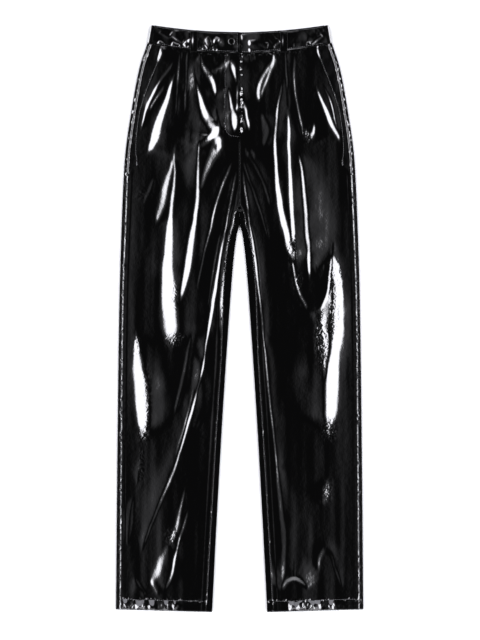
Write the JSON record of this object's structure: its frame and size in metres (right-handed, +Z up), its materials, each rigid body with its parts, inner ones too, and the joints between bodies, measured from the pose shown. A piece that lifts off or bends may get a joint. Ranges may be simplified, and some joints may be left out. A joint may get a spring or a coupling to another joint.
{
  "type": "leather trousers",
  "caption": "High-waisted pleated straight-leg trousers in black patent leather, laid flat with the front up, button and fly closed.",
  "frame": {"origin": "centre of the garment's outline, on the surface it lies on", "axes": "+Y from the hems to the waist, +X to the wearer's left, +Z up out of the trouser fronts"},
  "size_m": [0.4584, 1.086, 0.0138],
  "materials": {
    "patent_leather": "black patent, high gloss lacquer",
    "covered_button": "black patent stretched over a domed button",
    "zip_tape": "black woven tape"
  },
  "bodies": {
    "root": {"front_right": "patent_leather", "back_right": "patent_leather", "pocket_facing_right": "patent_leather", "waistband_right": "patent_leather", "front_left": "patent_leather", "back_left": "patent_leather", "pocket_facing_left": "patent_leather", "waistband_left": "patent_leather", "waistband_back": "patent_leather", "belt_loop_front_right": "patent_leather", "belt_loop_front_left": "patent_leather", "belt_loop_back_1": "patent_leather", "belt_loop_back_2": "patent_leather", "belt_loop_back_3": "patent_leather", "button": "covered_button", "fly_zip": "zip_tape"}
  },
  "joints": []
}
